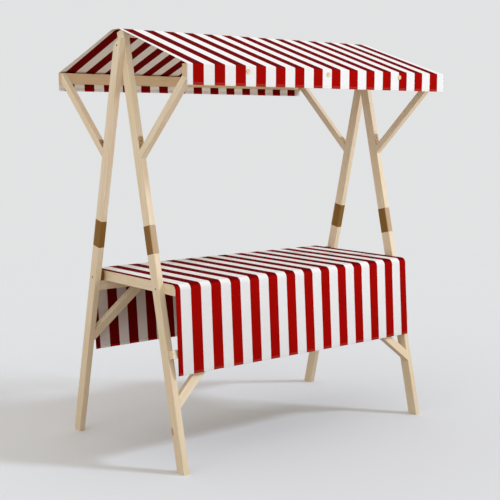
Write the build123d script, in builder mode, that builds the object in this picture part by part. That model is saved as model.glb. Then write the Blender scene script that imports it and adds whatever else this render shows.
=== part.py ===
from build123d import *
import os
from math import asin, atan2, cos, hypot, radians, sin, tan

# Wooden market stall with a striped gable canopy and a draped counter.
# Millimetres, +Z up. X runs along the counter, and the customer stands on the -Y side.
# The origin is on the ground, in the middle of the stall.

# Timber
timber = 32.0
leg_depth = 58.0
eave_rail_depth = 56.0
edge_round = 2.0

# Overall form
stall_width = 1720.0
foot_spread = 997.0
ridge_height = 2118.0
eave_height = 1926.0
canopy_depth = 1175.0
crossing_drop = 88.0

# Cloth
cloth_thickness = 2.0
cloth_gap = 0.3
valance_drop = 96.0
gable_hollow = 14.0
eave_round = 4.0
drop_length = 439.0
back_tuck = 35.0

# Leg splices and the heads of the back legs
splice_height = 1113.0
splice_length = 140.0
plate_thickness = 6.0
head_rise = 39.0
shoulder_slope = 28.6
shoulder_inset = 15.0

# Upper braces
upper_brace_angle = 43.5
upper_brace_width = 38.0
upper_brace_drop = 3.5

# Counter
counter_height = 897.0
counter_depth = 780.0
counter_rail_depth = 52.0
nosing_depth = 48.0
nosing_round = 28.0
spacer_length = 40.0
spacer_setback = 20.0
board_count = 4
board_width = 162.0
board_thickness = 18.0
bearer_depth = 30.0
stretcher_depth = 48.0

# Lower rail and lower braces
low_rail_height = 560.0
low_rail_depth = 41.0
low_rail_inset = 8.0
low_brace_width = 44.5
front_low_brace_angle = 41.0
front_low_brace_foot = 330.0
back_low_brace_angle = 45.0
back_low_brace_foot = 549.0

# Planes across the width, measured from the middle
outer_face = stall_width / 2
frame_face = outer_face - timber
inner_face = frame_face - timber
board_end = inner_face - timber
front_leg_mid = inner_face + timber / 2
back_leg_mid = frame_face + timber / 2

# The legs' lean, from their spread at the floor and the height where they cross
foot_face = foot_spread / 2
crossing_height = ridge_height - crossing_drop
lean = atan2(foot_face, crossing_height) - asin(
    leg_depth / 2 / hypot(crossing_height, foot_face)
)
leg_axis = Vector(0, sin(lean), cos(lean))
leg_span = leg_depth / cos(lean)
leg_frame = Plane(origin=(0, -foot_face, 0), x_dir=(1, 0, 0), z_dir=leg_axis)

# Roof lines, and the counter's edges
roof_half = canopy_depth / 2
roof_fall = (ridge_height - eave_height) / roof_half
roof_pitch = atan2(ridge_height - eave_height, roof_half)
under_ridge = ridge_height - (cloth_thickness + cloth_gap) / cos(roof_pitch)
eave_face = roof_half - cloth_thickness - cloth_gap
eave_back = eave_face - timber
eave_top = under_ridge - roof_fall * eave_face
counter_half = counter_depth / 2
nosing_back = counter_half - nosing_depth
rail_bottom = counter_height - counter_rail_depth


def leg_face(z):
    """Distance of a leg's outer face from the middle plane at height z."""
    return foot_face - tan(lean) * z


def along_leg(z):
    """Length along a leg's outer face up to height z."""
    return z / cos(lean)


def save(piece, name, right=False, back=False):
    """Exports a piece drawn at the front left, mirrored to the side where it stands."""
    with BuildPart() as placed:
        add(piece.part)
        if right:
            mirror(about=Plane.YZ, mode=Mode.REPLACE)
        if back:
            mirror(about=Plane.XZ, mode=Mode.REPLACE)
    placed.part.label = name
    export_step(placed.part, f"parts/{name}.step")


def leg_stick(x_mid, start, end, depth_range, rounded=True):
    """A length of leg timber between two distances along the leg."""
    near, far = depth_range
    with BuildPart() as stick:
        with BuildSketch(leg_frame.offset(start)):
            with Locations((x_mid, (near + far) / 2)):
                Rectangle(timber, far - near)
        extrude(amount=end - start)
        if rounded:
            fillet(stick.edges().filter_by(Axis((0, 0, 0), leg_axis)), radius=edge_round)
    return stick


def rail_along_x(x_half, y_range, z_range, outer_round=edge_round):
    """A rail the same to both sides of the middle; its outer top edge may be rounder."""
    with BuildPart() as rail:
        with BuildSketch(Plane.YZ.offset(-x_half)) as section:
            with Locations((sum(y_range) / 2, sum(z_range) / 2)):
                Rectangle(y_range[1] - y_range[0], z_range[1] - z_range[0])
            top_corner = section.vertices().group_by(Axis.Y)[-1].sort_by(Axis.X)[0]
            fillet(section.vertices() - ShapeList([top_corner]), radius=edge_round)
            top_corner = section.vertices().group_by(Axis.Y)[-1].sort_by(Axis.X)[0]
            fillet(top_corner, radius=outer_round)
        extrude(amount=2 * x_half)
    return rail


def rail_along_y(x_range, y_half, z_range):
    """A rail from front to back, the same to both sides of the middle plane."""
    with BuildPart() as rail:
        with BuildSketch(Plane.XZ.offset(-y_half)) as section:
            with Locations((sum(x_range) / 2, sum(z_range) / 2)):
                Rectangle(x_range[1] - x_range[0], z_range[1] - z_range[0])
            fillet(section.vertices(), radius=edge_round)
        extrude(amount=2 * y_half)
    return rail


os.makedirs("parts", exist_ok=True)

# Legs. The front pair stands in the inner planes and the back pair outside it, so that the
# two legs of an end lie face to face where they cross. Each leg is spliced above the counter.
splice_mid = along_leg(splice_height) - leg_depth / 2 * tan(lean)
splice_low = splice_mid - splice_length / 2
splice_high = splice_mid + splice_length / 2
front_slope = Plane(origin=(0, 0, under_ridge), z_dir=(0, -sin(roof_pitch), cos(roof_pitch)))
back_slope = Plane(origin=(0, 0, under_ridge), z_dir=(0, sin(roof_pitch), cos(roof_pitch)))
head_height = crossing_height + head_rise
head_inner_y = leg_span - leg_face(head_height)
shoulder_angle = radians(shoulder_slope)
shoulder = Plane(
    origin=(0, head_inner_y - shoulder_inset, head_height),
    z_dir=(0, -sin(shoulder_angle), cos(shoulder_angle)),
)

for leg_name, x_mid, back in (("front", -front_leg_mid, False), ("back", -back_leg_mid, True)):
    whole_depth = (0, leg_depth)
    with BuildPart() as lower_leg:
        add(leg_stick(x_mid, 0, splice_low, whole_depth).part)
        split(bisect_by=Plane.XY, keep=Keep.TOP)
    splice_block = leg_stick(x_mid, splice_low, splice_high, (plate_thickness, leg_depth), False)
    splice_plate = leg_stick(x_mid, splice_low, splice_high, (0, plate_thickness), False)
    with BuildPart() as upper_leg:
        add(leg_stick(x_mid, splice_high, along_leg(ridge_height), whole_depth).part)
        if back:
            split(bisect_by=Plane.XY.offset(head_height), keep=Keep.BOTTOM)
            split(bisect_by=shoulder, keep=Keep.BOTTOM)
        else:
            split(bisect_by=front_slope, keep=Keep.BOTTOM)
            split(bisect_by=back_slope, keep=Keep.BOTTOM)
    for side, right in (("left", False), ("right", True)):
        save(lower_leg, f"{leg_name}_{side}_leg_lower", right, back)
        save(splice_block, f"{leg_name}_{side}_splice_block", right, back)
        save(splice_plate, f"{leg_name}_{side}_splice_plate", right, back)
        save(upper_leg, f"{leg_name}_{side}_leg_upper", right, back)

# Upper braces: each is mitred to its leg's outer face, and reaches out to the eave rail, where
# it is cut upright against the rail's inner face a little below the rail's top.
brace_tilt = radians(upper_brace_angle)
brace_frame = Plane(
    origin=(0, -eave_back, eave_top - upper_brace_drop),
    x_dir=(1, 0, 0),
    z_dir=(0, -cos(brace_tilt), sin(brace_tilt)),
)
leg_outer_plane = Plane(origin=leg_frame.origin, z_dir=(0, -cos(lean), sin(lean)))
brace_length = roof_half / cos(brace_tilt)
for leg_name, x_mid, back in (("front", -front_leg_mid, False), ("back", -back_leg_mid, True)):
    with BuildPart() as upper_brace:
        with BuildSketch(brace_frame):
            with Locations((x_mid, -upper_brace_width / 2)):
                Rectangle(timber, upper_brace_width)
        extrude(amount=brace_length, both=True)
        fillet(upper_brace.edges().filter_by(Axis((0, 0, 0), brace_frame.z_dir)), radius=edge_round)
        split(bisect_by=Plane.XZ.offset(eave_back), keep=Keep.BOTTOM)
        split(bisect_by=leg_outer_plane, keep=Keep.TOP)
    for side, right in (("left", False), ("right", True)):
        save(upper_brace, f"{leg_name}_{side}_upper_brace", right, back)

# Eave rails under the folds of the canopy, and the ridge rail between the front legs' heads
eave_rail = rail_along_x(
    outer_face, (-eave_face, -eave_back), (eave_top - eave_rail_depth, eave_top), eave_round
)
save(eave_rail, "front_eave_rail")
save(eave_rail, "back_eave_rail", back=True)

ridge_edge_z = under_ridge - roof_fall * timber / 2
with BuildPart() as ridge_rail:
    with BuildSketch(Plane.YZ.offset(-inner_face)):
        with Locations((0, ridge_edge_z - timber / 2)):
            Rectangle(timber, timber)
        with BuildLine():
            Polyline(
                (-timber / 2, ridge_edge_z),
                (timber / 2, ridge_edge_z),
                (0, under_ridge),
                close=True,
            )
        make_face()
    extrude(amount=2 * inner_face)
save(ridge_rail, "ridge_rail")

# Counter: end rails inside the front legs, counter rails along their ends, boards on bearers
end_rail = rail_along_y((-inner_face, -board_end), nosing_back, (rail_bottom, counter_height))
save(end_rail, "left_end_rail")
save(end_rail, "right_end_rail", right=True)

counter_rail = rail_along_x(
    inner_face, (-counter_half, -nosing_back), (rail_bottom, counter_height), nosing_round
)
save(counter_rail, "front_counter_rail")
save(counter_rail, "back_counter_rail", back=True)

board_bottom = counter_height - board_thickness
board_gap = (2 * nosing_back - board_count * board_width) / (board_count + 1)
for number in range(board_count):
    board_front = -nosing_back + board_gap + number * (board_width + board_gap)
    board = rail_along_x(
        board_end, (board_front, board_front + board_width), (board_bottom, counter_height)
    )
    save(board, f"counter_board_{number + 1}")

bearer_z = (board_bottom - bearer_depth, board_bottom)
end_bearer = rail_along_y((-board_end, -board_end + timber), nosing_back, bearer_z)
save(end_bearer, "left_bearer")
save(end_bearer, "right_bearer", right=True)
save(rail_along_y((-timber / 2, timber / 2), nosing_back, bearer_z), "middle_bearer")

# Spacers between the end rails and the back legs, and the stretcher under the end rails
rail_mid_z = counter_height - counter_rail_depth / 2
spacer_y = leg_face(rail_mid_z) - leg_span + spacer_setback
with BuildPart() as spacer:
    with BuildSketch(Plane.XY.offset(rail_bottom)) as section:
        with Locations((-back_leg_mid + timber, spacer_y + spacer_length / 2)):
            Rectangle(timber, spacer_length)
        fillet(section.vertices(), radius=edge_round)
    extrude(amount=counter_rail_depth)
save(spacer, "left_spacer")
save(spacer, "right_spacer", right=True)

stretcher_bottom = rail_bottom - stretcher_depth
stretcher_front = leg_face(stretcher_bottom) - leg_span
save(
    rail_along_x(
        frame_face,
        (stretcher_front, stretcher_front + timber),
        (stretcher_bottom, rail_bottom),
    ),
    "back_stretcher",
)

# Lower front rail, laid flat on the leaning faces of the front legs
low_rail_along = along_leg(low_rail_height)
low_rail_end = frame_face - low_rail_inset
with BuildPart() as low_rail:
    with BuildSketch(leg_frame.offset(low_rail_along)):
        with Locations((0, -timber / 2)):
            Rectangle(2 * low_rail_end, timber)
    extrude(amount=low_rail_depth / 2, both=True)
    fillet(low_rail.edges().filter_by(Axis.X), radius=edge_round)
save(low_rail, "low_front_rail")


def low_brace(start_x, foot_z, top_z, angle, depth_range):
    """A slanting brace in the plane of the legs, rising inward from a leg to a rail.

    Its height at the leg and its level top are given on its inner side.
    """
    tilt = radians(angle)
    half = low_brace_width / 2 / cos(tilt)
    near, far = depth_range
    foot = along_leg(foot_z) + far * tan(lean)
    top = along_leg(top_z) + far * tan(lean)
    rise = top - foot
    inner_plane = Plane(
        origin=leg_frame.from_local_coords((0, far, 0)),
        x_dir=(1, 0, 0),
        z_dir=-leg_frame.y_dir,
    )
    with BuildPart() as brace:
        with BuildSketch(inner_plane):
            with BuildLine():
                Polyline(
                    (start_x, foot - half),
                    (start_x, foot + half),
                    (start_x + (rise - half) / tan(tilt), top),
                    (start_x + (rise + half) / tan(tilt), top),
                    close=True,
                )
            make_face()
        extrude(amount=far - near)
        split(bisect_by=Plane.XY.offset(top_z), keep=Keep.BOTTOM)
    return brace


low_rail_top = (low_rail_along + low_rail_depth / 2) * cos(lean)
front_low_brace = low_brace(
    -inner_face,
    front_low_brace_foot,
    low_rail_top,
    front_low_brace_angle,
    (0, timber),
)
back_low_brace = low_brace(
    -frame_face,
    back_low_brace_foot,
    stretcher_bottom,
    back_low_brace_angle,
    (leg_depth - timber, leg_depth),
)
for side, right in (("left", False), ("right", True)):
    save(front_low_brace, f"front_{side}_lower_brace", right)
    save(back_low_brace, f"back_{side}_lower_brace", right, back=True)

# Canopy: one cloth over ridge and eaves with a valance down each long side. Its gable edges
# are cut slightly hollow, so that the ridge ends a little inside the eaves.
with BuildPart() as canopy:
    with BuildSketch(Plane.YZ.offset(-outer_face)):
        with BuildLine() as cloth_run:
            run = Polyline(
                (-roof_half, eave_height - valance_drop),
                (-roof_half, eave_height),
                (0, ridge_height),
                (roof_half, eave_height),
                (roof_half, eave_height - valance_drop),
            )
            valance_folds = run.vertices().group_by(Axis.Y)[1]
            fillet(valance_folds, radius=eave_round + cloth_gap + cloth_thickness)
            offset(cloth_run.line, amount=cloth_thickness, side=Side.RIGHT)
        make_face()
    extrude(amount=stall_width)
    with BuildSketch(Plane.XY.offset(eave_height - valance_drop)):
        with BuildLine():
            left_gable = ThreePointArc(
                (-outer_face, -roof_half), (gable_hollow - outer_face, 0), (-outer_face, roof_half)
            )
            right_gable = ThreePointArc(
                (outer_face, roof_half), (outer_face - gable_hollow, 0), (outer_face, -roof_half)
            )
            Line(left_gable @ 1, right_gable @ 0)
            Line(right_gable @ 1, left_gable @ 0)
        make_face()
    extrude(amount=ridge_height, mode=Mode.INTERSECT)
save(canopy, "canopy")

# Tablecloth: over the counter and down in front and behind. In front it leans out over the
# lower rail. Behind it hangs straight down the counter rail and leans in below it.
low_rail_bottom = low_rail_along - low_rail_depth / 2
rail_corner_y = foot_face - low_rail_bottom * sin(lean) + timber * cos(lean)
rail_corner_z = low_rail_bottom * cos(lean) + timber * sin(lean)
drop_y = counter_half + cloth_gap + cloth_thickness
drop_top = counter_height + cloth_gap + cloth_thickness
flare = (rail_corner_y + cloth_gap + cloth_thickness - drop_y) / (drop_top - rail_corner_z)
hem_z = drop_top - drop_length
with BuildPart() as tablecloth:
    with BuildSketch(Plane.YZ.offset(-inner_face)):
        with BuildLine() as cloth_run:
            run = Polyline(
                (-drop_y - flare * drop_length, hem_z),
                (-drop_y, drop_top),
                (drop_y, drop_top),
                (drop_y, rail_bottom),
                (drop_y - back_tuck, hem_z),
            )
            counter_folds = run.vertices().group_by(Axis.Y)[-1]
            fillet(counter_folds, radius=nosing_round + cloth_gap + cloth_thickness)
            offset(cloth_run.line, amount=cloth_thickness, side=Side.RIGHT)
        make_face()
    extrude(amount=2 * inner_face)
save(tablecloth, "tablecloth")
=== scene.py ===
# %% [markdown]
# # A market stall in wood and striped cloth
# This lesson dresses a stall whose timber already exists as exact solids. The wooden pieces keep
# their shapes and get grained materials. The two cloths are sewn here as thin curved sheets,
# because a solid can't hang, turn a hem or show a weave. We start by loading the solids as a
# fixed frame: everything else is placed from their measured boxes, in metres.

# %% Load the timber frame
import math
import bpy
import numpy as np
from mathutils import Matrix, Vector


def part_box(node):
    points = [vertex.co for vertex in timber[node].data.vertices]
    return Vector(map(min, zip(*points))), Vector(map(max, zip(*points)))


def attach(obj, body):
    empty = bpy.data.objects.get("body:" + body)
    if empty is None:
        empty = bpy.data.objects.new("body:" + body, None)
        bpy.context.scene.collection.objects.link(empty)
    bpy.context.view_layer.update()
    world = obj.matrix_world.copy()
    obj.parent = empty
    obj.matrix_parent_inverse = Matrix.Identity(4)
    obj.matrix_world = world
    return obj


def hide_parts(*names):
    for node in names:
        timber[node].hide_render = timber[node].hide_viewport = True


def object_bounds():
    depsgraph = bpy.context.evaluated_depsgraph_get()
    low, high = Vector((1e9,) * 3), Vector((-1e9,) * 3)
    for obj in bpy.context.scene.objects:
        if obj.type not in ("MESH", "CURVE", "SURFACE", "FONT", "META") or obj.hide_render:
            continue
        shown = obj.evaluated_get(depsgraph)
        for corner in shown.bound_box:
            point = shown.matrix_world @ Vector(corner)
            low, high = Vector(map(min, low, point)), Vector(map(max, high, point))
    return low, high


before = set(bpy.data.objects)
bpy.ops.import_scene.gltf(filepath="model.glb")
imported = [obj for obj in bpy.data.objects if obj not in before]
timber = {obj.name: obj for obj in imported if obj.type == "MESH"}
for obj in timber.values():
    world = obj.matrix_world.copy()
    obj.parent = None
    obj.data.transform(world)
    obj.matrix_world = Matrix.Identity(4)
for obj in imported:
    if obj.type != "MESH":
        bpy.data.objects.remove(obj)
solid_low, solid_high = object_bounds()
print("timber and cloth solids:", len(timber))
print("overall size:", [round(high - low, 3) for low, high in zip(solid_low, solid_high)])

# %% [markdown]
# ## Where we stand
# The stall is seen from its front left, a little above the counter, from about five and a half
# metres away. A long lens from far off keeps the legs nearly parallel, as a product picture
# does. Heading and tilt are set as plain angles, so the view is easy to change.

# %% Camera
eye_tilt, eye_heading = 82.917, -38.869
eye = bpy.data.objects.new("eye", bpy.data.cameras.new("eye"))
bpy.context.scene.collection.objects.link(eye)
eye.location = (-3.5225, -4.3378, 1.6616)
eye.rotation_euler = (math.radians(eye_tilt), 0.0, math.radians(eye_heading))
eye.data.lens = 73.61
eye.data.sensor_width = 36.0
eye.data.clip_end = 60.0
bpy.context.scene.camera = eye
stall_middle = Vector((0.0, 0.0, solid_high[2] / 2))
print("camera to the middle of the stall:", round((eye.location - stall_middle).length, 2), "m")

# %% [markdown]
# ## Measures that everything shares
# The cloth lies on the timber, so its sizes are read from the solids instead of being typed in
# twice. Stripes belong to the bolt of cloth: a red and a white band of nearly the same width
# repeat every 121 mm. The two cloths were cut from it one after the other, so their first red
# bands lie two millimetres apart.

# %% Shared measures
canopy_low, canopy_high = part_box("canopy")
cover_low, cover_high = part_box("tablecloth")
eave_low, eave_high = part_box("front_eave_rail")
nosing_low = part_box("front_counter_rail")[0]
half_width = canopy_high[0]
roof_half = canopy_high[1]
ridge_z = canopy_high[2]
valance_z = canopy_low[2]
fold_z = 1.926
cloth_skin = 0.0007
stripe_pitch = 0.1212
red_width = 0.0610
roof_first_red = -0.7956
cover_first_red = -0.7976
print("roof:", round(half_width, 3), round(roof_half, 3), "ridge", round(ridge_z, 3))
print("counter cloth:", [round(v, 3) for v in cover_low], [round(v, 3) for v in cover_high])

# %% [markdown]
# ## Words for nodes
# A procedural material is a web of small nodes. Written out, each takes three or four lines, and
# the idea gets lost. So we first make a few short words: one sum, one mix of two colours, one
# stretched space. A number or a colour goes straight onto a socket, anything else is linked.

# %% Node helpers
mix_first, mix_second, mix_result = 6, 7, 2  # the colour sockets among a Mix node's many


def node(tree, kind, **settings):
    made = tree.nodes.new(kind)
    for key, value in settings.items():
        setattr(made, key, value)
    return made


def plug(tree, socket, value):
    if isinstance(value, (int, float)):
        socket.default_value = value
    elif isinstance(value, tuple):
        socket.default_value = (*value, 1)
    else:
        tree.links.new(value, socket)


def maths(tree, operation, *values):
    step = node(tree, "ShaderNodeMath", operation=operation)
    for socket, value in zip(step.inputs, values):
        plug(tree, socket, value)
    return step.outputs[0]


def times(tree, first, second):
    return maths(tree, "MULTIPLY", first, second)


def apart(tree, first, second):
    """The gap between two values, whichever is larger."""
    return maths(tree, "ABSOLUTE", maths(tree, "SUBTRACT", first, second))


def blend(tree, amount, first, second):
    mix = node(tree, "ShaderNodeMix", data_type="RGBA", blend_type="MIX")
    for number, value in ((0, amount), (mix_first, first), (mix_second, second)):
        plug(tree, mix.inputs[number], value)
    return mix.outputs[mix_result]


def own_space(tree):
    return node(tree, "ShaderNodeTexCoord").outputs["Object"]


def scaled(tree, vector, scale):
    turn = node(tree, "ShaderNodeMapping")
    tree.links.new(vector, turn.inputs["Vector"])
    turn.inputs["Scale"].default_value = scale
    return turn.outputs["Vector"]


# %% [markdown]
# Four more words deal with patterns. Noise gives a cloudy value round one half. Spread takes the
# part between low and high and stretches it to a new range with soft ends, which turns clouds
# into patches with a clear edge. Raised lets a pattern catch the light as if it had height. The
# last one tells which way the surface faces, so that ends or upper sides can look different.

# %% Pattern helpers
def noise(tree, vector, scale, detail=3.0, rough=0.5):
    made = node(tree, "ShaderNodeTexNoise")
    tree.links.new(vector, made.inputs["Vector"])
    made.inputs["Scale"].default_value = scale
    made.inputs["Detail"].default_value = detail
    made.inputs["Roughness"].default_value = rough
    return made.outputs["Fac"]


def spread(tree, value, low, high, new_low=0.0, new_high=1.0):
    step = node(tree, "ShaderNodeMapRange", interpolation_type="SMOOTHSTEP")
    tree.links.new(value, step.inputs[0])
    for socket, number in zip(step.inputs[1:5], (low, high, new_low, new_high)):
        socket.default_value = number
    return step.outputs[0]


def raised(tree, height, distance, strength, under=None):
    bump = node(tree, "ShaderNodeBump")
    bump.inputs["Strength"].default_value = strength
    bump.inputs["Distance"].default_value = distance
    tree.links.new(height, bump.inputs["Height"])
    if under is not None:
        tree.links.new(under, bump.inputs["Normal"])
    return bump.outputs["Normal"]


def turned_to(tree, direction):
    """How far the surface faces along a direction, from -1 to 1."""
    facing = node(tree, "ShaderNodeNewGeometry").outputs["Normal"]
    compare = node(tree, "ShaderNodeVectorMath", operation="DOT_PRODUCT")
    tree.links.new(facing, compare.inputs[0])
    compare.inputs[1].default_value = direction
    return compare.outputs["Value"]


# %% [markdown]
# ## Studio
# ### Floor
# A pale floor and a pale surround keep attention on the stall. The floor looks pale, but what it
# throws back upward is warm and weak, so the underside of the roof and the feet of the legs are a
# little darker and warmer than the rest. A material can tell the two apart, because it may ask
# what kind of ray has hit it. Far out the floor turns clear and fades into the surround, so it
# never ends in an edge.

# %% Floor
floor_reach = 14.0
fade_start, fade_end = 3.0, 9.0


def link(name, data):
    piece = bpy.data.objects.new(name, data)
    bpy.context.scene.collection.objects.link(piece)
    return piece


def build(name, points, faces, *finishes):
    """A new piece in the scene from points and faces, with its materials."""
    mesh = bpy.data.meshes.new(name)
    mesh.from_pydata(points, [], faces)
    for finish in finishes:
        mesh.materials.append(finish)
    return link(name, mesh)


def fresh_material(name):
    finish = bpy.data.materials.new(name)
    finish.use_nodes = True
    tree = finish.node_tree
    shader = tree.nodes["Principled BSDF"]
    return finish, tree, shader


def give(tree, shader, **looks):
    """Hands colours, numbers and patterns to the shader; a low line stands for a space."""
    for look, value in looks.items():
        plug(tree, shader.inputs[look.replace("_", " ")], value)


def seen_directly(tree):
    """1 for rays that end in the picture: straight, by gloss or through glass. Else 0."""
    ray = node(tree, "ShaderNodeLightPath").outputs
    seen = maths(tree, "MAXIMUM", ray["Is Camera Ray"], ray["Is Glossy Ray"])
    return maths(tree, "MAXIMUM", seen, ray["Is Transmission Ray"])


def mixed_shader(tree, amount, first, second):
    mix = node(tree, "ShaderNodeMixShader")
    for socket, value in zip(mix.inputs, (amount, first.outputs[0], second.outputs[0])):
        tree.links.new(value, socket)
    return mix.outputs[0]


def studio_floor(reach, seen, thrown_back):
    finish, tree, shader = fresh_material("pale_floor")
    floor_colour = blend(tree, seen_directly(tree), thrown_back, seen)
    give(tree, shader, Base_Color=floor_colour, Roughness=0.9)

    from_middle = node(tree, "ShaderNodeVectorMath", operation="LENGTH")
    tree.links.new(own_space(tree), from_middle.inputs[0])
    fading = spread(tree, from_middle.outputs["Value"], fade_start, fade_end)
    clear = node(tree, "ShaderNodeBsdfTransparent")
    surface = tree.nodes["Material Output"].inputs["Surface"]
    tree.links.new(mixed_shader(tree, fading, shader, clear), surface)

    corners = [(-reach, -reach, 0), (reach, -reach, 0), (reach, reach, 0), (-reach, reach, 0)]
    floor = build("studio_floor", corners, [(0, 1, 2, 3)], finish)


studio_floor(floor_reach, seen=(0.74, 0.76, 0.79), thrown_back=(0.33, 0.28, 0.23))
print("floor:", 2 * floor_reach, "m across, clear from", fade_end, "m outward")

# %% [markdown]
# ### Surround
# Most of the light comes from all round, as under a hazy sky, so shadows stay soft and the inner
# sides can be read. It is a little warm. What is seen behind the stall is another, plainer colour,
# and the same question about the ray keeps the two apart here.

# %% Surround
surround_light = (1.0, 0.955, 0.895)


def plain_light(tree, colour, strength):
    light = node(tree, "ShaderNodeBackground")
    give(tree, light, Color=colour, Strength=strength)
    return light


def studio_surround(fill, colour, backdrop):
    world = bpy.data.worlds.new("surround")
    bpy.context.scene.world = world
    world.use_nodes = True
    tree = world.node_tree
    tree.nodes.clear()
    light = plain_light(tree, colour, fill)
    seen = plain_light(tree, backdrop, 1.0)
    out = node(tree, "ShaderNodeOutputWorld")
    surface = out.inputs["Surface"]
    tree.links.new(mixed_shader(tree, seen_directly(tree), light, seen), surface)


studio_surround(fill=0.80, colour=surround_light, backdrop=(0.76, 0.765, 0.77))
bpy.context.scene.view_settings.view_transform = "Standard"
print("light from all round:", surround_light)

# %% [markdown]
# ### Lamps
# A mild, cool key comes from the front right, forty degrees up: faces toward the customer are
# the brightest, and the counter cloth shades the leg beside it. One soft lamp stands low in front
# and points up, so that light reaches in under the roof. Its light leaves in a narrow fan, which
# keeps it off the floor. A large one hangs at the left, for the end that is turned to us.

# %% Lamps
key_colour = (0.78, 0.87, 1.0)
lamp_colour = (0.95, 0.98, 1.0)


def aimed(direction):
    """The turn that lets a lamp shine against a direction."""
    return direction.to_track_quat("Z", "Y").to_euler()


def key_light(strength, heading, height, softness):
    """A sun; heading is counted from the front toward the right, in degrees as the others."""
    sun = link("key_light", bpy.data.lights.new("key_light", "SUN"))
    sun.data.energy = strength
    sun.data.angle = math.radians(softness)
    sun.data.color = key_colour
    away = Vector((
        math.sin(math.radians(heading)) * math.cos(math.radians(height)),
        -math.cos(math.radians(heading)) * math.cos(math.radians(height)),
        math.sin(math.radians(height)),
    ))
    sun.rotation_euler = aimed(away)
    return away


def soft_lamp(name, place, aim, size, power, fan):
    lamp = link(name, bpy.data.lights.new(name, "AREA"))
    lamp.data.shape = "SQUARE"
    lamp.data.size = size
    lamp.data.energy = power
    lamp.data.spread = math.radians(fan)
    lamp.data.color = lamp_colour
    away = Vector(place) - Vector(aim)
    lamp.location = place
    lamp.rotation_euler = aimed(away)
    lamp.visible_camera = False
    lamp.visible_glossy = False
    return away.length


sun_side = key_light(strength=1.29, heading=45, height=40, softness=8)
front_gap = soft_lamp("front_lamp", place=(1.7, -3.0, 0.25), aim=(-0.2, 0.1, 2.0), size=1.0,
                      power=6.6, fan=60)
left_gap = soft_lamp("left_lamp", place=(-6.8, -1.8, 3.0), aim=(-0.8, 0.0, 1.6), size=3.4,
                     power=14.0, fan=100)
print("key light from", [round(v, 2) for v in sun_side])
print("front lamp at", round(front_gap, 2), "m, left lamp at", round(left_gap, 2), "m")

# %% [markdown]
# ## Colours
# Most colours are written as they would be picked on a screen, from 0 to 255, and a shader wants
# them in linear light. The curve between the two is the usual one of every display. A few deep
# reds and browns are written in linear light at once.

# %% Colour helpers
def srgb(red, green, blue):
    def linear(value):
        value = value / 255
        return value / 12.92 if value <= 0.04045 else ((value + 0.055) / 1.055) ** 2.4
    return linear(red), linear(green), linear(blue)


def toned(colour, *factors):
    """A colour with each of its parts made stronger or weaker."""
    return tuple(min(1.0, part * factor) for part, factor in zip(colour, factors))


cloth_white = srgb(239, 239, 241)
print("white of the cloth in linear light:", [round(v, 3) for v in cloth_white])

# %% [markdown]
# ## Sawn and planed softwood
# Every timber is a length sawn from a log, so its grain is the log's growth rings cut along the
# length: long streaks on the faces, arcs on the sawn ends. Painting streaks on each face would
# need an unwrap for each piece and would not meet at the edges. Instead the rings are made in
# space, round an axis laid along each piece, and every face simply cuts through them. Each
# piece gets its own shift of that space, as if it came from another part of the log.

# %% Space of the grain
def grain_space_of(tree, along, dice):
    """The piece's own space, turned until Z runs with the grain, and shifted by chance."""
    turn = node(tree, "ShaderNodeMapping", vector_type="TEXTURE")
    tree.links.new(own_space(tree), turn.inputs["Vector"])
    turn.inputs["Rotation"].default_value = along.to_track_quat("Z", "Y").to_euler()
    turn.inputs["Location"].default_value = dice.uniform(-3.0, 3.0, 3)
    return turn.outputs["Vector"]


# %% [markdown]
# A knot is the root of a branch: a small dark spot that the rings flow round. Knots have to be
# rare and lie anywhere, and Voronoi cells do that well. Each cell has a middle and a random
# colour, and only the cells whose colour falls under a limit carry a knot.

# %% Knots
knot_stretch = 0.45
knot_cells = 4.6
knot_edge = (0.02, 0.06)
knot_reach = (0.02, 0.26)


def knots_in(tree, grain_space, chance):
    """The spots themselves, and the wider pull that each has on the rings round it."""
    cells = node(tree, "ShaderNodeTexVoronoi", feature="F1")
    tree.links.new(scaled(tree, grain_space, (1, 1, knot_stretch)), cells.inputs["Vector"])
    cells.inputs["Scale"].default_value = knot_cells
    chosen = node(tree, "ShaderNodeSeparateColor")
    tree.links.new(cells.outputs["Color"], chosen.inputs[0])
    is_knot = maths(tree, "LESS_THAN", chosen.outputs[0], chance)
    gap = cells.outputs["Distance"]
    knot = times(tree, spread(tree, gap, *knot_edge, 1.0, 0.0), is_knot)
    pull = times(tree, spread(tree, gap, *knot_reach, 1.0, 0.0), is_knot)
    return knot, pull


print("cells that may hold a knot are", round(1 / knot_cells, 2), "m wide")

# %% [markdown]
# A growth ring is the distance from the log's heart, counted in steps of about six millimetres.
# Within a step the wood starts pale and ends dark, which a power curve gives. Slow noise and the
# knots bend that distance, so that no ring is a true circle, and more noise lets some rings fade.

# %% Growth rings
rings_per_metre = 165.0
ring_curve = 2.2
ring_wander = 0.030
knot_push = 0.009


def growth_rings(tree, grain_space, long_space, pull, dice):
    parts = node(tree, "ShaderNodeSeparateXYZ")
    tree.links.new(grain_space, parts.inputs[0])
    heart_x = maths(tree, "ADD", parts.outputs[0], float(dice.uniform(0.05, 0.16)))
    heart_y = maths(tree, "ADD", parts.outputs[1], float(dice.uniform(-0.10, 0.10)))
    squared = maths(tree, "ADD", times(tree, heart_x, heart_x), times(tree, heart_y, heart_y))
    from_heart = maths(tree, "SQRT", squared)
    bent = maths(tree, "MULTIPLY_ADD", noise(tree, long_space, 9.0), ring_wander, from_heart)
    bent = maths(tree, "MULTIPLY_ADD", pull, knot_push, bent)
    within = maths(tree, "FRACT", times(tree, bent, rings_per_metre))
    ring = maths(tree, "POWER", within, ring_curve)
    strength = spread(tree, noise(tree, long_space, 30.0, 2.0, 0.6), 0.3, 0.7, 0.35, 1.0)
    return times(tree, ring, strength)


print("one growth ring:", round(1000 / rings_per_metre, 1), "mm")

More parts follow.
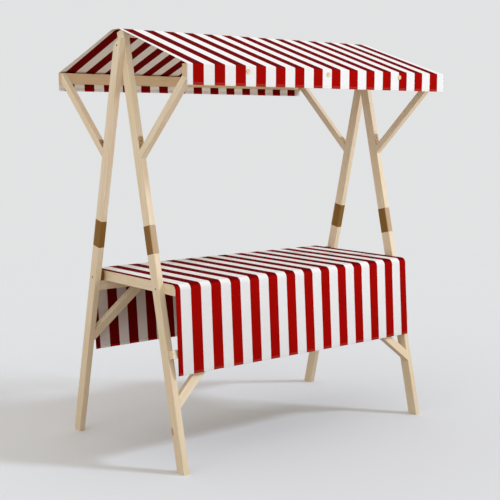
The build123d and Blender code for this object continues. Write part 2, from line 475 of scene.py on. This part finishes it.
# %% [markdown]
# The wood needs five things in all: the rings, honey and pink streaks where the saw ran along
# them, fine fibres with a few dark pores, each some forty-five times longer than wide, a slow
# change of tone along the piece, and the knots. Each is one more blend over the colour so far.
# Sawn ends drink up dirt and finish, so they are a little darker. That is found by comparing the
# surface's direction with the direction of the grain.

# %% Wood recipe
streak_stretch = 0.06
fibre_stretch = 0.022


def grained_wood(name, along, seed, early, late, knots=0.35, contrast=1.0):
    """Softwood with its grain along a direction; early and late are the ring colours."""
    finish, tree, shader = fresh_material(name)
    along = Vector(along).normalized()
    dice = np.random.default_rng(seed)
    grain_space = grain_space_of(tree, along, dice)
    long_space = scaled(tree, grain_space, (1, 1, streak_stretch))
    fibre_space = scaled(tree, grain_space, (1, 1, fibre_stretch))
    knot, pull = knots_in(tree, grain_space, knots)
    ring = growth_rings(tree, grain_space, long_space, pull, dice)

    fibres = noise(tree, fibre_space, scale=900.0, detail=3.0, rough=0.65)
    pores = spread(tree, noise(tree, fibre_space, scale=420.0, detail=2.0, rough=0.55), 0.60, 0.74)
    streak = noise(tree, long_space, scale=84.0, detail=2.0, rough=0.55)
    blush = noise(tree, long_space, scale=46.0, detail=2.0, rough=0.5)
    tone = noise(tree, long_space, scale=5.0, detail=2.0, rough=0.5)
    end_on = spread(tree, maths(tree, "ABSOLUTE", turned_to(tree, along)), 0.45, 0.9)

    honey = toned(early, 0.91, 0.85, 0.68)
    pink = toned(early, 0.96, 0.84, 0.78)
    pore_dark = toned(late, 0.55, 0.55, 0.55)
    knot_brown = toned(late, 0.50, 0.38, 0.28)
    sawn_brown = toned(late, 0.80, 0.70, 0.58)
    colour = early
    for amount, over in (
        (times(tree, ring, 0.72 * contrast), late),
        (spread(tree, streak, 0.44, 0.60, 0.0, 0.90 * contrast), honey),
        (spread(tree, blush, 0.48, 0.64, 0.0, 0.85 * contrast), pink),
        (spread(tree, tone, 0.38, 0.66, 0.0, 0.35 * contrast), honey),
        (spread(tree, fibres, 0.35, 0.75, 0.0, 0.22 * contrast), late),
        (times(tree, pores, 0.20 * contrast), pore_dark),
        (times(tree, knot, 0.75), knot_brown),
        (times(tree, end_on, 0.10), sawn_brown),
    ):
        colour = blend(tree, amount, colour, over)
    roughness = spread(tree, fibres, 0.3, 0.7, 0.50, 0.66)
    bumps = raised(tree, fibres, distance=0.0004, strength=0.35)
    bumps = raised(tree, ring, distance=0.0005, strength=0.25, under=bumps)
    give(tree, shader, Base_Color=colour, Roughness=roughness, Specular_IOR_Level=0.25,
         Normal=bumps)
    return finish


print("fibres are", round(1 / fibre_stretch), "times longer than wide")

# %% [markdown]
# Which way does the grain run? Along the length of each timber. The legs lean thirteen degrees,
# so their grain leans with them. The upper braces rise a little flatter than forty-five degrees
# toward the eaves, and the lower ones rise in the plane of the legs, the front pair flatter than
# the back pair. One function gives the direction for each kind of piece, and its signs follow
# from the corner of the stall where the piece stands.

# %% Direction of each timber
lean = math.radians(13.0)
upper_brace_rise = math.radians(43.5)
low_brace_rise = {"front": math.radians(41.0), "back": math.radians(45.0)}


def grain_direction(piece_name):
    """The direction along a timber, from its name."""
    toward = -1 if piece_name.startswith("back") else 1
    side = 1 if "left" in piece_name else -1
    if "leg_" in piece_name or "splice" in piece_name:
        return 0, toward * math.sin(lean), math.cos(lean)
    if "upper_brace" in piece_name:
        return 0, -toward * math.cos(upper_brace_rise), math.sin(upper_brace_rise)
    if "lower_brace" in piece_name:
        rise = low_brace_rise[piece_name.split("_")[0]]
        up = math.sin(rise)
        return side * math.cos(rise), up * toward * math.sin(lean), up * math.cos(lean)
    if "end_rail" in piece_name or "bearer" in piece_name:
        return 0, 1, 0
    if "spacer" in piece_name:
        return 0, 0, 1
    return 1, 0, 0


print("legs lean", round(math.degrees(lean), 1), "degrees")

# %% [markdown]
# Most of the stall is pale planed wood. The eave rails are a warmer honey colour, the splice
# plates a quiet tan, and the splice blocks and spacers are stained brown. Every timber gets a
# material of its own, because each has another direction and another part of the log. The short
# splice pieces and spacers get no knots.

# %% Dress the timber
pale_rings = srgb(244, 232, 212), srgb(219, 194, 157)
honey_rings = srgb(230, 206, 172), srgb(204, 166, 122)
tan_rings = srgb(200, 175, 147), srgb(175, 146, 114)
stain_rings = srgb(144, 106, 42), srgb(104, 71, 23)

dressed = 0
for number, (piece_name, piece) in enumerate(sorted(timber.items())):
    if piece_name in ("canopy", "tablecloth"):
        continue
    along = grain_direction(piece_name)
    if "splice_block" in piece_name or "spacer" in piece_name:
        wood = grained_wood(f"stain_{piece_name}", along, number, *stain_rings, knots=0.0,
                            contrast=1.1)
    elif "splice_plate" in piece_name:
        wood = grained_wood(f"tan_{piece_name}", along, number, *tan_rings, knots=0.0)
    elif "eave_rail" in piece_name:
        wood = grained_wood(f"honey_{piece_name}", along, number, *honey_rings)
    else:
        wood = grained_wood(f"pale_{piece_name}", along, number, *pale_rings)
    for holder in piece.material_slots:
        holder.material = wood
    dressed += 1
print("timbers dressed:", dressed)

# %% [markdown]
# ## The striped cloth
# It is a plain-woven canvas, striped in the yarn: warp threads of one colour lie side by side,
# so a stripe's edge is straight to within a thread. The stripes only depend on how far across
# the bolt a point lies. That is why the sheets carry a flat layout in metres, just like a paper
# pattern, and the material reads it. Dividing by the pitch counts the bands, and the fraction
# tells the place within one. The count starts well beside the cloth, so it is never negative.

# %% Stripes
bands_beside = 20
edge_waver = 0.0012
edge_softness = 0.006


def red_bands(tree, layout, across, first_red):
    """1 on the red bands and 0 on the white ones; first_red is the middle of one red band."""
    wavering = maths(tree, "MULTIPLY_ADD", noise(tree, layout, 700.0, 1.0), edge_waver, across)
    start = first_red - red_width / 2 - bands_beside * stripe_pitch
    turns = maths(tree, "DIVIDE", maths(tree, "SUBTRACT", wavering, start), stripe_pitch)
    phase = maths(tree, "FRACT", turns)
    red_end = red_width / stripe_pitch
    rising = spread(tree, phase, 0.0, edge_softness)
    half_soft = edge_softness / 2
    falling = spread(tree, phase, red_end - half_soft, red_end + half_soft, 1.0, 0.0)
    return times(tree, rising, falling)


print("red bands", round(1000 * red_width, 1), "mm, white bands",
      round(1000 * (stripe_pitch - red_width), 1), "mm")

# %% [markdown]
# A hem is the cloth folded over once and stitched down near both edges of the fold. Doubled cloth
# is a touch darker and warmer. Each row of stitches is a dashed line that stands up a little and
# presses a shallow groove into the cloth beside it, so it is drawn twice: as colour and as height.

# %% Hems and stitches
stitch_pitch = 0.0042
hem_tint, hem_colour = 0.04, (0.66, 0.50, 0.36)
stitch_tint, stitch_colour = 0.16, (0.55, 0.42, 0.36)
hem_ramp = 0.001


def stitched(tree, colour, across, down, hems):
    """The colour with hems and stitches on it, and the height of the seams."""
    dash = maths(tree, "FRACT", maths(tree, "DIVIDE", across, stitch_pitch))
    on_dash = spread(tree, apart(tree, dash, 0.5), 0.30, 0.38, 1.0, 0.0)
    seam = None
    for low, high in hems:
        doubled = times(tree, spread(tree, down, low, low + hem_ramp),
                        spread(tree, down, high, high + hem_ramp, 1.0, 0.0))
        colour = blend(tree, times(tree, doubled, hem_tint), colour, hem_colour)
        for line in (low, high):
            near = apart(tree, down, line)
            on_line = spread(tree, near, 0.00035, 0.0007, 1.0, 0.0)
            groove = spread(tree, near, 0.0005, 0.0035, -0.55, 0.0)
            stitch = times(tree, on_line, on_dash)
            height = maths(tree, "ADD", stitch, groove)
            seam = height if seam is None else maths(tree, "ADD", seam, height)
            colour = blend(tree, times(tree, stitch, stitch_tint), colour, stitch_colour)
    return colour, seam


print("stitches per metre of hem:", round(1 / stitch_pitch))

# %% [markdown]
# Now the canvas itself. The weave is two crossed waves, one thread apart: where both go up, the
# warp lies on top. Thicker yarn here and there gives short streaks along the warp, and slow
# clouds of grey stand for use and weather. Where the cloth faces up, light and shade are painted
# in: the white is made lighter (painted light) and the red deeper (painted shade).

# %% Canvas recipe
thread = 0.0011
yarn_grey = (0.62, 0.61, 0.59)
yarn_dark = (0.03, 0.0, 0.0)
# Black for the painted shade in the low spots of the weave.
weave_hollow_shade = (0.0, 0.0, 0.0)


def striped_canvas(name, first_red, white, red, hems, painted_top_white=None, painted_top_red=None):
    """Canvas with red stripes. hems lists doubled bands along the sheet, stitched at both ends."""
    finish, tree, shader = fresh_material(name)
    layout = node(tree, "ShaderNodeUVMap", uv_map="pattern").outputs["UV"]
    flat = node(tree, "ShaderNodeSeparateXYZ")
    tree.links.new(layout, flat.inputs[0])
    across, down = flat.outputs[0], flat.outputs[1]

    # Painted light and shade: faces that turn upward get a lighter white and a deeper red.
    if painted_top_white is not None:
        painted_top_light = spread(tree, turned_to(tree, (0, 0, 1)), 0.35, 0.92)
        white = blend(tree, painted_top_light, white, painted_top_white)
        red = blend(tree, painted_top_light, red, painted_top_red)

    warp = maths(tree, "SINE", times(tree, across, 2 * math.pi / thread))
    weft = maths(tree, "SINE", times(tree, down, 2 * math.pi / thread))
    over_under = times(tree, warp, weft)
    slub = noise(tree, scaled(tree, layout, (1, 0.04, 1)), scale=620.0, detail=2.0, rough=0.6)
    cloudy = noise(tree, layout, scale=3.2, detail=3.0, rough=0.6)

    white = blend(tree, spread(tree, cloudy, 0.42, 0.75, 0.0, 0.10), white, yarn_grey)
    white = blend(tree, spread(tree, slub, 0.45, 0.75, 0.0, 0.07), white, yarn_grey)
    red = blend(tree, spread(tree, cloudy, 0.40, 0.72, 0.0, 0.10), red, yarn_dark)
    red = blend(tree, spread(tree, slub, 0.45, 0.75, 0.0, 0.16), red, yarn_dark)
    colour = blend(tree, red_bands(tree, layout, across, first_red), white, red)
    # Painted shade: the colour darkens by up to six percent where the threads dip under each
    # other.
    colour = blend(tree, spread(tree, over_under, -1.0, 1.0, 0.06, 0.0), colour, weave_hollow_shade)
    colour, seam = stitched(tree, colour, across, down, hems)

    bumps = raised(tree, over_under, distance=0.00018, strength=0.6)
    bumps = raised(tree, slub, distance=0.0003, strength=0.35, under=bumps)
    bumps = raised(tree, seam, distance=0.0006, strength=0.6, under=bumps)
    give(tree, shader, Base_Color=colour, Roughness=0.88, Specular_IOR_Level=0.01, Normal=bumps)
    return finish


print("threads per centimetre:", round(0.01 / thread, 1))

# %% [markdown]
# The wrong side was never coated, so its red is duller, and it gets a finish of its own. The
# roof's wrong side has a lighter white than the counter's: painted light for the daylight that
# comes through it. The roof's painted top white is slightly darker than the counter's, since the
# key light hits the slopes squarely. So these two whites are chosen for each cloth when it is
# sewn.

# %% Two sides of one cloth
coated_red = (0.38, 0.0029, 0.0015)
# The deeper red painted as shade on faces that turn up.
painted_shade_red = (0.175, 0.0015, 0.0027)
dull_red = (0.160, 0.0022, 0.0016)


def both_sides(name, first_red, hems, painted_top_white, inner_white):
    """The coated right side and the dull wrong side of one cloth."""
    right_side = striped_canvas(f"{name}_right_side", first_red, cloth_white, coated_red, hems,
                                painted_top_white, painted_shade_red)
    wrong_side = striped_canvas(f"{name}_wrong_side", first_red, inner_white, dull_red, hems)
    return right_side, wrong_side


print("red on the wrong side, against the right side:", round(dull_red[0] / coated_red[0], 2))

# %% [markdown]
# ## Cutting and hanging a sheet
# A cloth over a frame can be simulated, but this one is pulled tight and hardly moves, so it is
# drafted as a seamstress would: a section line from hem to hem, with round folds where it bends
# over timber, swept along the stall. Each corner of the line is replaced by a short arc that
# touches both of its sides, and long straight runs are divided, so that they can sway later.

# %% Section lines with round folds
arc_steps = 8


def arc_at(before, here, after, radius):
    """Points of the arc that rounds off the corner at here."""
    back = (Vector(before) - here).normalized()
    onward = (Vector(after) - here).normalized()
    half_angle = back.angle(onward) / 2
    trim = radius / math.tan(half_angle)
    start = here + back * trim
    end = here + onward * trim
    centre = here + (back + onward).normalized() * radius / math.sin(half_angle)
    arc = []
    for k in range(arc_steps + 1):
        guess = start.lerp(end, k / arc_steps) - centre
        arc.append(centre + guess.normalized() * radius)
    return arc


def rounded_line(corners, radii, step):
    """Points along a line of (y, z) corners, each rounded with its own radius."""
    points = []
    for index, (corner, radius) in enumerate(zip(corners, radii)):
        here = Vector(corner)
        if radius == 0:
            points.append(here)
        else:
            points.extend(arc_at(corners[index - 1], here, corners[index + 1], radius))
    filled = [points[0]]
    for point in points[1:]:
        base = filled[-1]
        pieces = max(1, int((point - base).length / step))
        for k in range(1, pieces + 1):
            filled.append(base.lerp(point, k / pieces))
    return filled


print("points in one round fold:", arc_steps + 1)

# %% [markdown]
# Each point of the line knows how much cloth lies before it, which gives the flat pattern for
# free. The sweep makes a grid of faces, and a shape function may move every point of it. Solidify
# then gives the sheet its thickness, and the shell that it adds behind takes the second material,
# so each side of the cloth has its own finish.

# %% Sew a sheet
def run_lengths(points):
    lengths = [0.0]
    for first, second in zip(points, points[1:]):
        lengths.append(lengths[-1] + (second - first).length)
    return lengths


def grid_faces(rows, columns):
    """Quads between rows of points; a row has one point more than it has columns."""
    size = columns + 1
    corners = [row * size + column for row in range(rows) for column in range(columns)]
    return [(corner, corner + 1, corner + size + 1, corner + size) for corner in corners]


def thicken(piece, thickness):
    body = piece.modifiers.new("body", "SOLIDIFY")
    body.thickness = thickness
    body.offset = 0.0
    return body


def sew_sheet(name, section, left, right, columns, shape, finishes):
    """A sheet swept along X. shape moves a point: it gets x, y, z and the length along."""
    vertices = []
    layout = []
    for along, point in zip(run_lengths(section), section):
        for x in np.linspace(left, right, columns + 1):
            vertices.append(shape(float(x), point.x, point.y, along))
            layout.append((float(x), along))
    sheet = build(name, vertices, grid_faces(len(section) - 1, columns), *finishes)
    pattern = sheet.data.uv_layers.new(name="pattern")
    for loop in sheet.data.loops:
        pattern.data[loop.index].uv = layout[loop.vertex_index]
    for face in sheet.data.polygons:
        face.use_smooth = True
    thicken(sheet, cloth_skin).material_offset = 1
    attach(sheet, "root")
    return sheet


print("cloth thickness:", round(1000 * cloth_skin, 1), "mm")

# %% [markdown]
# Where cloth hangs free it swells slowly. The sum of three waves of unlike lengths doesn't repeat
# within the stall, so no fold looks copied. A second helper says how far a point has come between
# two places, which fades such a movement in and out.

# %% Swell and share
def swell(x, along, seed):
    """A slow, smooth wave, between about -1 and 1."""
    return (
        math.sin(3.1 * x + 1.7 * along + seed)
        + 0.6 * math.sin(7.3 * x - 2.9 * along + 2.1 * seed)
        + 0.4 * math.sin(13.7 * x + 4.3 * along + 0.7 * seed)
    ) / 2


def share(value, start, end):
    """0 before start, 1 after end, and even between them."""
    return min(1.0, max(0.0, (value - start) / (end - start)))


# %% [markdown]
# ### Canopy
# One cloth goes up the front valance, over the eave rail, up the slope, over the ridge and down
# again behind. Both hems are turned inward and stitched, so the line starts with a short piece
# that lies against the inside of the valance. The front slope ends sharply at the ridge, but
# behind it the cloth runs on level over the heads of the back legs before it goes down.

# %% Section of the canopy
row_step = 0.012
hem_depth = 0.014
hem_clear = 0.0004
turn_gap = 0.0011
turn_radius = turn_gap * 0.49  # just under half, so that both turns fit into the gap
skin_inset = 0.0009
level_top, level_drop = 0.064, 0.0010
eave_bend, ridge_bend, level_bend = 0.005, 0.004, 0.060
roof_pitch = math.atan2(ridge_z - fold_z, roof_half)
skin_y = roof_half - skin_inset
skin_eave = fold_z - skin_inset * (1 + math.tan(roof_pitch))
skin_ridge = ridge_z - skin_inset / math.cos(roof_pitch)
hem_z = valance_z + hem_clear
canopy_corners = [
    (-skin_y + turn_gap, hem_z + hem_depth),
    (-skin_y + turn_gap, hem_z),
    (-skin_y, hem_z),
    (-skin_y, skin_eave),
    (0.0, skin_ridge),
    (level_top, skin_ridge - level_drop),
    (skin_y, skin_eave),
    (skin_y, hem_z),
    (skin_y - turn_gap, hem_z),
    (skin_y - turn_gap, hem_z + hem_depth),
]
canopy_radii = [0, turn_radius, turn_radius, eave_bend, ridge_bend, level_bend, eave_bend,
                turn_radius, turn_radius, 0]
canopy_line = rounded_line(canopy_corners, canopy_radii, row_step)
canopy_run = run_lengths(canopy_line)[-1]
print("roof pitch:", round(math.degrees(roof_pitch), 1), "degrees")

# %% [markdown]
# The gable edges run a little hollow, as cloth does between two corners that pull on it, and this
# only narrows the white band along the edge. Both slopes are pulled nearly flat. Below the rail
# the valance hangs free: it is tucked in here and lifted there by a millimetre or two.

# %% Sew the canopy
canopy_columns = 160
gable_hollow = 0.014
edge_band = 0.034
side_trim = 0.0004
slope_swell = 0.0010
valance_tuck, valance_lift = 0.0018, 0.0010
stitch_inset = 0.003


def hang_canopy(x, y, z, along):
    out = min(1.0, abs(y) / skin_y)
    at_edge = share(abs(x), half_width - edge_band, half_width)
    inward = gable_hollow * (1 - out ** 2) * at_edge + side_trim
    new_x = x - inward * x / half_width
    on_slope = z > skin_eave
    dip = math.sin(math.pi * out) ** 2 * slope_swell * swell(x, along, 1.3) if on_slope else 0.0
    below_rail = share(-z, -eave_low[2], -valance_z)
    tuck = max(0.0, valance_tuck * swell(2.3 * x, along, 4.0)) * below_rail
    lift = max(0.0, valance_lift * swell(1.7 * x, 0.0, 2.2)) * below_rail
    return new_x, y - math.copysign(tuck, y), z - dip + lift


def hem_bands(run):
    """The doubled band above each hem: from the fold to the stitches."""
    fold = hem_depth + turn_gap
    top = fold + hem_depth - stitch_inset
    return [(fold, top), (run - top, run - fold)]


# The first white below is painted light on the slopes that face up; the second is painted light
# coming through the cloth.
canopy_sides = both_sides("canopy", roof_first_red, hem_bands(canopy_run),
                          painted_top_white=srgb(250, 246, 246), inner_white=srgb(238, 232, 224))
canopy = sew_sheet("canopy_cloth", canopy_line, -half_width, half_width, canopy_columns,
                   hang_canopy, canopy_sides)
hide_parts("canopy")
print("canopy cut:", round(2 * half_width, 3), "by", round(canopy_run, 3), "m")

# %% [markdown]
# ### Counter cloth
# The same canvas lies over the counter between the legs. In front it bends softly over the
# rounded nosing and hangs down, and on its way it is pushed out by the low rail, so the drop
# leans outward. Behind, the cloth falls straight down the counter rail and leans back in under
# it, since nothing there holds it off.

# %% Section of the counter cloth
top_inset = 0.0010
nosing_clear = 0.0013
front_inset = 0.0011
back_lean = 0.0355
top_z = cover_high[2] - top_inset
edge_y = -nosing_low[1] + nosing_clear
front_hem_y = -cover_low[1] - front_inset
back_hem_y = cover_high[1] - back_lean
rail_under = nosing_low[2]
drop_z = cover_low[2] + hem_clear
nosing_bend = 0.0292
tuck_bend = 0.4
cover_corners = [
    (-front_hem_y + turn_gap, drop_z + hem_depth),
    (-front_hem_y + turn_gap, drop_z),
    (-front_hem_y, drop_z),
    (-edge_y, top_z),
    (edge_y, top_z),
    (edge_y, rail_under),
    (back_hem_y, drop_z),
    (back_hem_y - turn_gap, drop_z),
    (back_hem_y - turn_gap, drop_z + hem_depth),
]
cover_radii = [0, turn_radius, turn_radius, nosing_bend, nosing_bend, tuck_bend, turn_radius,
               turn_radius, 0]
cover_line = rounded_line(cover_corners, cover_radii, row_step)
cover_run = run_lengths(cover_line)[-1]
print("front drop:", round(top_z - drop_z, 3), "m")

# %% [markdown]
# On the boards the cloth only ripples by half a millimetre. From just below the top, the drops
# begin to sway, and the front one drifts a little to the right toward its hem, most of all at
# its right edge, which hangs free.

# %% Sew the counter cloth
cover_columns = 150
cover_half = cover_high[0] - side_trim
sway_start, sway_end = 0.06, 0.40
drift, drift_width = 0.0040, 0.35
free_edge, free_edge_width = 0.0045, 0.30
front_wave, back_wave = 0.0022, 0.0030
lean_start = 0.03
hem_lift = 0.0012
board_ripple, board_edge = 0.0005, (0.03, 0.10)


def hang_cover(x, y, z, along):
    hanging = share(-z, -top_z + sway_start, -top_z + sway_end)
    fan = 0.0
    if y < 0:
        fan = hanging * (drift * share(x, -cover_half, -cover_half + drift_width)
                         + free_edge * share(x, cover_half - free_edge_width, cover_half) ** 1.5)
    wave = front_wave * (1 + swell(1.9 * x, 0.4 * along, 0.6)) * hanging
    if y > 0:
        leaning = share(-z, -rail_under + lean_start, -drop_z)
        wave = back_wave * swell(1.6 * x, 0.4 * along, 2.6) * leaning
    lift = max(0.0, hem_lift * swell(1.1 * x, 0.0, 3.0)) * hanging
    on_boards = share(edge_y - abs(y), *board_edge)
    ripple = max(0.0, board_ripple * swell(2.6 * x, 5.0 * y, 1.9)) * on_boards
    return x + fan, y + math.copysign(wave, y), z + lift + ripple


# The first white below is painted light where the counter cloth faces up.
cover_sides = both_sides("counter", cover_first_red, hem_bands(cover_run),
                         painted_top_white=srgb(255, 251, 250), inner_white=srgb(226, 219, 220))
cover = sew_sheet("counter_cloth", cover_line, -cover_half, cover_half, cover_columns,
                  hang_cover, cover_sides)
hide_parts("tablecloth")
print("counter cloth cut:", round(2 * cover_half, 3), "by", round(cover_run, 3), "m")

# %% [markdown]
# ## Small round things
# Screws hold the counter's rails to the legs, and one goes through the head of each back leg.
# Buttons keep the canopy on its eave rails. All of them are low round heads, so one maker draws
# them: rings of points round an axis, with a height that may depend on the place within the
# ring. That makes domes, rims and holes without cutting anything away.

# %% Round heads
def head_faces(rings, spokes, rim):
    """A fan round the middle point, then rings of quads down to the rim, and a flat back."""
    faces = []
    for spoke in range(spokes):
        after = (spoke + 1) % spokes
        faces.append((0, 1 + spoke, 1 + after))
        for ring in range(rings):
            low = 1 + ring * spokes
            faces.append((low + spoke, low + spokes + spoke, low + spokes + after, low + after))
    faces.append(tuple(rim + spoke for spoke in reversed(range(spokes))))
    return faces


def round_head(name, place, facing, radius, rings, spokes, height, finish):
    """A closed head on a surface; height gives its shape at a point of its plane."""
    angles = [2 * math.pi * spoke / spokes for spoke in range(spokes)]
    local = [(0.0, 0.0, height(0.0, 0.0))]
    for ring in range(rings):
        reach = radius * (ring + 1) / rings
        for angle in angles:
            x, y = reach * math.cos(angle), reach * math.sin(angle)
            local.append((x, y, height(x, y)))
    rim = len(local)
    local += [(radius * math.cos(angle), radius * math.sin(angle), 0.0) for angle in angles]
    turn = Vector(facing).to_track_quat("Z", "Y")
    points = [Vector(place) + turn @ Vector(point) for point in local]
    head = build(name, points, head_faces(rings, spokes, rim), finish)
    for face in head.data.polygons[:-1]:
        face.use_smooth = True
    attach(head, "root")
    return head


print("faces in a head of 16 rings and 48 spokes:", len(head_faces(16, 48, 0)))

# %% [markdown]
# A screw head is a low dome with a cross driven into it. Its steel is blackened, with brighter
# spots where it is worn. The places are written for the left end only, and the right end mirrors
# them.

# %% Screws
screw_radius = 0.0043
screw_rim, screw_dome = 0.0004, 0.0008
cross_depth = 0.0009
cross_side = (0.0004, 0.0008)
cross_end = (0.0022, 0.0027)


def screw_height(x, y):
    dome = screw_rim + screw_dome * (1 - (x * x + y * y) / screw_radius ** 2)
    arm = max(abs(x), abs(y))
    thick = min(abs(x), abs(y))
    in_cross = (1 - share(thick, *cross_side)) * (1 - share(arm, *cross_end))
    return dome - cross_depth * in_cross


def blackened_steel():
    finish, tree, shader = fresh_material("blackened_steel")
    worn = spread(tree, noise(tree, own_space(tree), scale=900.0), 0.50, 0.72)
    colour = blend(tree, worn, (0.045, 0.038, 0.030), (0.16, 0.14, 0.115))
    give(tree, shader, Base_Color=colour, Roughness=spread(tree, worn, 0.0, 1.0, 0.52, 0.38),
         Metallic=0.7, Normal=raised(tree, worn, distance=0.0001, strength=0.4))
    return finish


steel = blackened_steel()
back_leg_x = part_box("back_left_leg_lower")[0][0]
front_leg_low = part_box("front_left_leg_lower")[0]
screw_places = {
    "back_rail_screw": (back_leg_x, 0.271, 0.866),
    "front_rail_screw": (front_leg_low[0], -0.269, 0.868),
    "head_screw": (back_leg_x, -0.003, 2.036),
}
for screw_name, (x, y, z) in screw_places.items():
    for side, sign in (("left", 1), ("right", -1)):
        round_head(f"{side}_{screw_name}", (sign * x, y, z), (-sign, 0, 0), screw_radius,
                   rings=16, spokes=48, height=screw_height, finish=steel)
print("screws:", 2 * len(screw_places))

# %% [markdown]
# ## Corner straps
# In the corner over the foot of each upper brace lies a bent strap of bronzed steel, one wing on
# the leg and one on the brace. First the corner has to be found: it is where the line of the
# leg's outer face meets the line of the brace's top. Both are taken in a side view, as distance
# from the middle of the stall and height.

# %% Find the corner
brace_drop = 0.0035
leg_foot = -front_leg_low[1]
brace_top = eave_high[2] - brace_drop
brace_slope = math.tan(upper_brace_rise)
apex_z = ((brace_top + brace_slope * (eave_high[1] + leg_foot))
          / (1 + brace_slope * math.tan(lean)))
apex = Vector((leg_foot - math.tan(lean) * apex_z, apex_z))
up_leg = Vector((-math.sin(lean), math.cos(lean)))
off_leg = Vector((math.cos(lean), math.sin(lean)))
up_brace = Vector((math.cos(upper_brace_rise), math.sin(upper_brace_rise)))
off_brace = Vector((-math.sin(upper_brace_rise), math.cos(upper_brace_rise)))
print("corner of leg and brace:", [round(v, 3) for v in apex])

# %% [markdown]
# The strap is drawn like the cloth: a line with a small bend, swept across its width, which
# narrows in a round at both ends. Here thickness and softened edges come from two modifiers. A
# smaller screw sits in each wing.

# %% Corner straps
strap_thickness = 0.0015
strap_clear = 0.0001
strap_half_width, strap_round = 0.014, 0.011
strap_columns = 8
strap_fold, strap_step, strap_edge = 0.003, 0.0015, 0.0003
leg_wing, brace_wing = 0.067, 0.064
strap_lift = (strap_thickness / 2 + strap_clear) / math.sin(up_leg.angle(up_brace) / 2)
strap_bend = apex + (up_leg + up_brace).normalized() * strap_lift
strap_corners = [strap_bend + up_leg * leg_wing, strap_bend, strap_bend + up_brace * brace_wing]
strap_line = rounded_line(strap_corners, [0, strap_fold, 0], strap_step)
print("strap length:", round(run_lengths(strap_line)[-1], 3), "m")


def bronzed_steel():
    finish, tree, shader = fresh_material("bronzed_steel")
    stain = noise(tree, own_space(tree), scale=140.0, detail=4.0, rough=0.6)
    colour = blend(tree, spread(tree, stain, 0.35, 0.68), (0.60, 0.42, 0.23), (0.40, 0.25, 0.12))
    give(tree, shader, Base_Color=colour, Roughness=spread(tree, stain, 0.3, 0.7, 0.40, 0.55),
         Metallic=0.25, Normal=raised(tree, stain, distance=0.0002, strength=0.3))
    return finish


def corner_strap(name, x_mid, outward, finish):
    """A strap at x_mid; outward is -1 in front and 1 behind."""
    lengths = run_lengths(strap_line)
    vertices = []
    for along, point in zip(lengths, strap_line):
        from_end = min(along, lengths[-1] - along)
        short = strap_round - min(strap_round, from_end)
        half = strap_half_width - strap_round + math.sqrt(strap_round ** 2 - short ** 2)
        for column in range(strap_columns + 1):
            x = x_mid + half * (2 * column / strap_columns - 1)
            vertices.append((x, outward * point.x, point.y))
    faces = grid_faces(len(strap_line) - 1, strap_columns)
    if outward < 0:
        faces = [face[::-1] for face in faces]
    strap = build(name, vertices, faces, finish)
    thicken(strap, strap_thickness)
    edge = strap.modifiers.new("edge", "BEVEL")
    edge.width = strap_edge
    edge.segments = 2
    edge.limit_method = "ANGLE"
    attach(strap, "root")


# %% [markdown]
# The front braces stand in the plane of the front legs and the back braces in that of the back
# legs, which lies further out. So the straps come in two pairs, and each pair mirrors itself.

# %% Fit the straps
front_brace_x, back_brace_x = 0.812, 0.844
strap_screw_run, strap_screw_radius = 0.044, 0.0036
bronze = bronzed_steel()
strap_places = (("front_left", -front_brace_x, -1), ("front_right", front_brace_x, -1),
                ("back_left", -back_brace_x, 1), ("back_right", back_brace_x, 1))
for place_name, x_mid, outward in strap_places:
    corner_strap(f"{place_name}_brace_strap", x_mid, outward, bronze)
    for wing_name, run, face in (("leg", up_leg, off_leg), ("brace", up_brace, off_brace)):
        spot = apex + run * strap_screw_run + face * (strap_thickness + strap_clear)
        round_head(f"{place_name}_{wing_name}_strap_screw", (x_mid, outward * spot.x, spot.y),
                   (0, outward * face.x, face.y), strap_screw_radius,
                   rings=12, spokes=32, height=screw_height, finish=steel)
print("corner straps:", len(strap_places), "at height", round(apex_z, 3))

# %% [markdown]
# ## Buttons
# The canopy's buttons are turned from pale wood: a round rim, a shallow dish and four holes.
# They sit just under the fold, three to a side, where the cloth lies on the rail. One height
# function draws all of it: the rim falls off outward, the dish inward, and the holes are spots
# whose middles lie at equal distances from both axes.

# %% Buttons
button_radius = 0.0115
button_z = 1.899
button_spacing = 0.510
rim_height, rim_fall = 0.0042, 0.0022
dish_depth = 0.0012
hole_place, hole_depth = 0.0022, 0.0020


def button_height(x, y):
    reach = math.hypot(x, y) / button_radius
    rim = rim_height - rim_fall * share(reach, 0.80, 1.0) ** 2
    dish = rim - dish_depth * (1 - share(reach, 0.55, 0.78))
    hole = math.hypot(abs(x) - hole_place, abs(y) - hole_place)
    return dish - hole_depth * (1 - share(hole, 0.0008, 0.0012))


def button_wood():
    finish, tree, shader = fresh_material("button_wood")
    grain = noise(tree, scaled(tree, own_space(tree), (1, 1, 0.1)), scale=800.0, detail=2.0)
    colour = blend(tree, spread(tree, grain, 0.35, 0.70), srgb(238, 218, 182), srgb(212, 184, 142))
    give(tree, shader, Base_Color=colour, Roughness=spread(tree, grain, 0.3, 0.7, 0.42, 0.55),
         Normal=raised(tree, grain, distance=0.0001, strength=0.3))
    return finish


pale_button = button_wood()
cloth_face = skin_y + cloth_skin / 2
buttons = []
for side, sign in (("front", -1), ("back", 1)):
    for number, x in enumerate((-button_spacing, 0.0, button_spacing), start=1):
        button = round_head(f"{side}_button_{number}", (x, sign * cloth_face, button_z),
                            (0, sign, 0), button_radius,
                            rings=24, spokes=64, height=button_height, finish=pale_button)
        buttons.append(button)
print("buttons:", len(buttons), "each", round(2000 * button_radius), "mm across")
